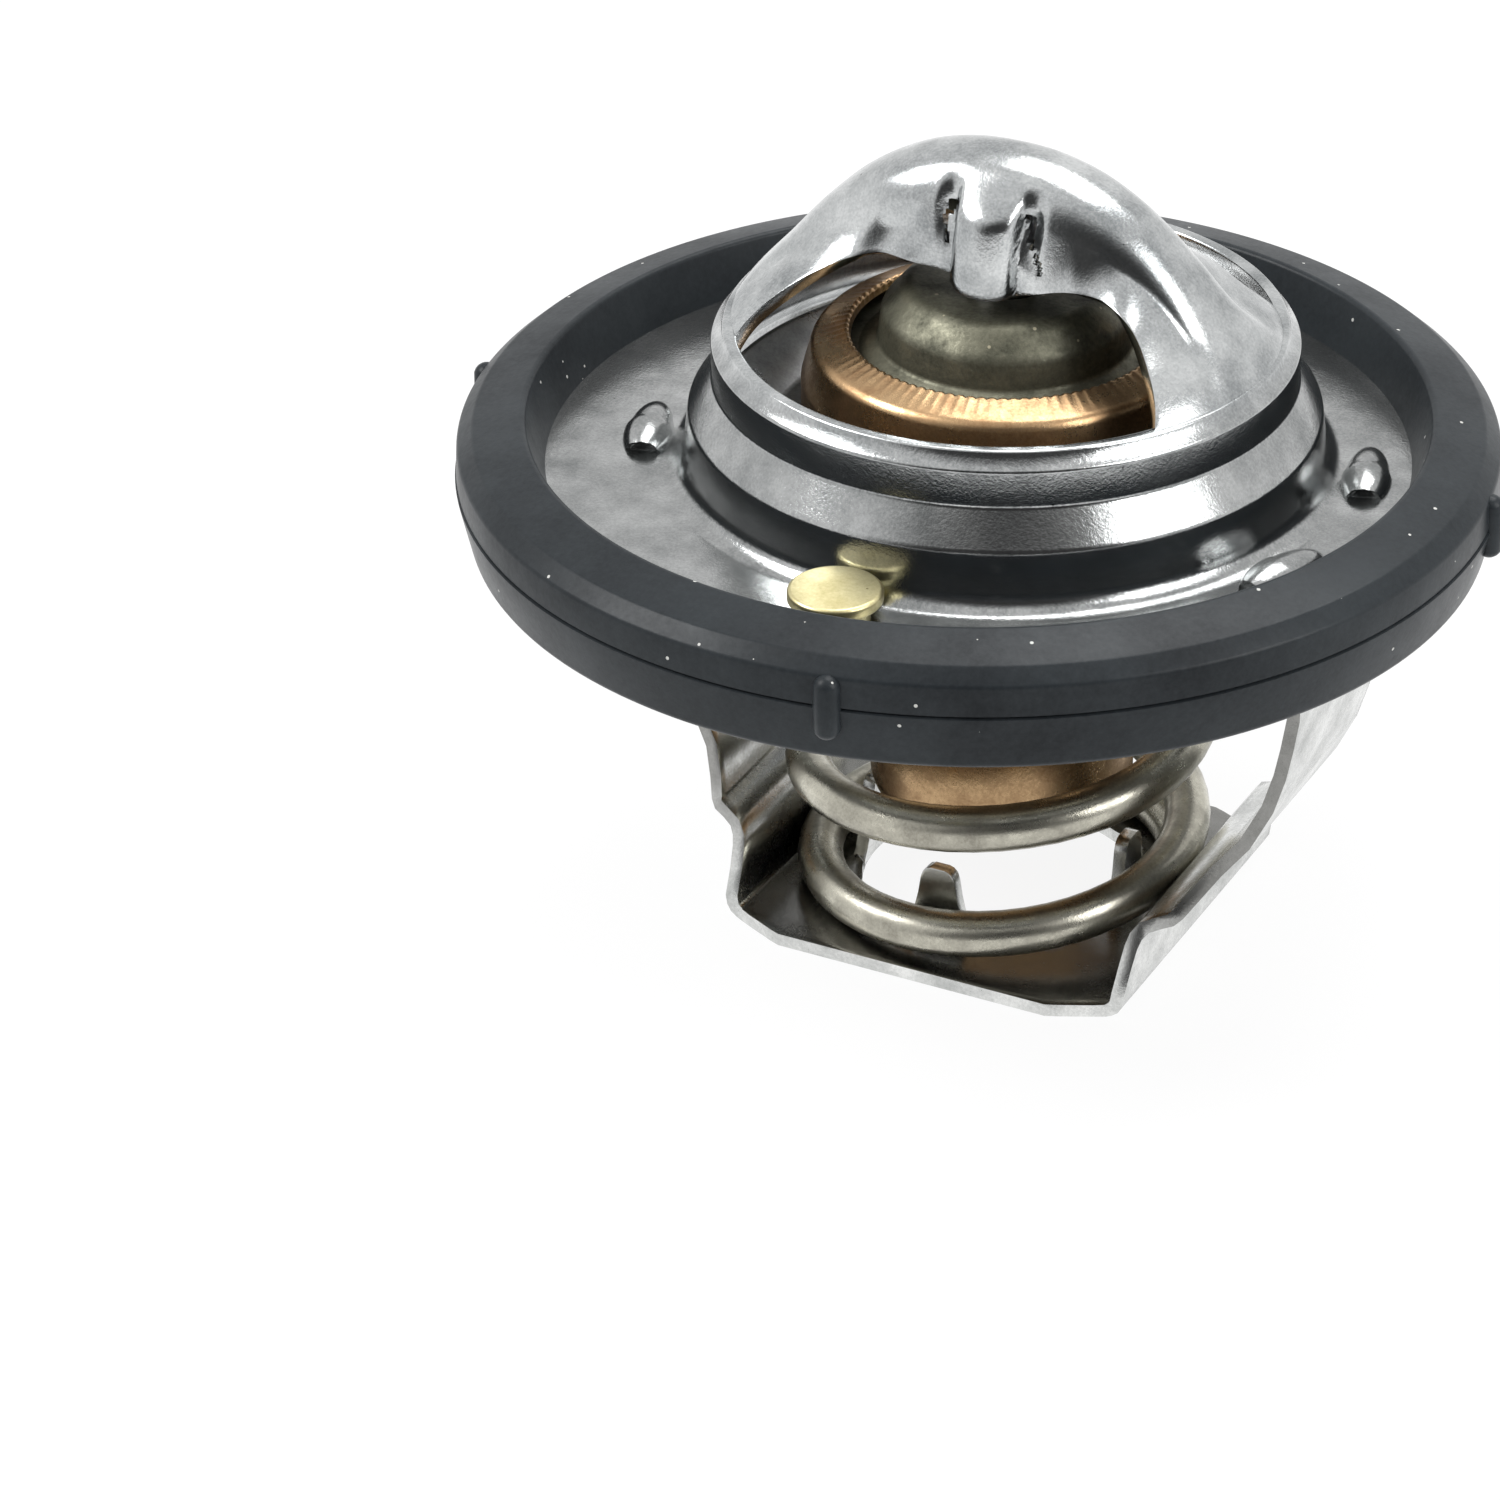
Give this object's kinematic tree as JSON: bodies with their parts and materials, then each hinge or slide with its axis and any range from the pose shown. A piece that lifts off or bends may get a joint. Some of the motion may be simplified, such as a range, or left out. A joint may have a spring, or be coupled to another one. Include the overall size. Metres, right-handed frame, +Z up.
{
  "type": "engine thermostat",
  "caption": "Coolant thermostat: rubber-rimmed flange, bridge above, spring frame below, and a sliding wax element that opens the valve against a coil spring.",
  "frame": {"origin": "centre of the rim seal in plan, at the underside of the lower frame's base, which is the bottom of the part", "axes": "+Z up along the valve axis, from the frame's base to the bridge; X along the bridge and the frame's two legs; the jiggle pin is on the -Y side"},
  "size_m": [0.0624, 0.0624, 0.0489],
  "materials": {
    "bright_steel": "stamped and tumbled, bright",
    "frame_steel": "stamped, bright",
    "valve_steel": "stamped, dull",
    "polished_steel": "ground and polished",
    "spring_wire": "drawn wire, yellowish grey",
    "copper": "drawn copper, satin",
    "guide_alloy": "dull olive grey, mottled",
    "pin_brass": "pale, satin",
    "seal_rubber": "moulded, semi-matte",
    "sleeve_rubber": "moulded",
    "wax": "waxy"
  },
  "bodies": {
    "housing": {"upper_bridge": "bright_steel", "rim_seal": "seal_rubber", "lower_frame": "frame_steel", "main_spring": "spring_wire", "piston": "polished_steel"},
    "valve_element": {"valve_plate": "valve_steel", "wax_case": "copper", "element_guide": "guide_alloy", "rubber_sleeve": "sleeve_rubber", "wax_charge": "wax"},
    "vent_pin": {"jiggle_pin": "pin_brass"}
  },
  "joints": [
    {"name": "valve_slide", "type": "slide", "parent": "housing", "child": "valve_element", "axis": [0, 0, -1], "range_m": [0, 0.008], "stiffness_N_per_m": 2500, "springref_m": -0.01, "deforming": ["main_spring"]},
    {"name": "jiggle_pin_slide", "type": "slide", "parent": "housing", "child": "vent_pin", "axis": [0, 0, 1], "range_m": [0, 0.0015]}
  ]
}
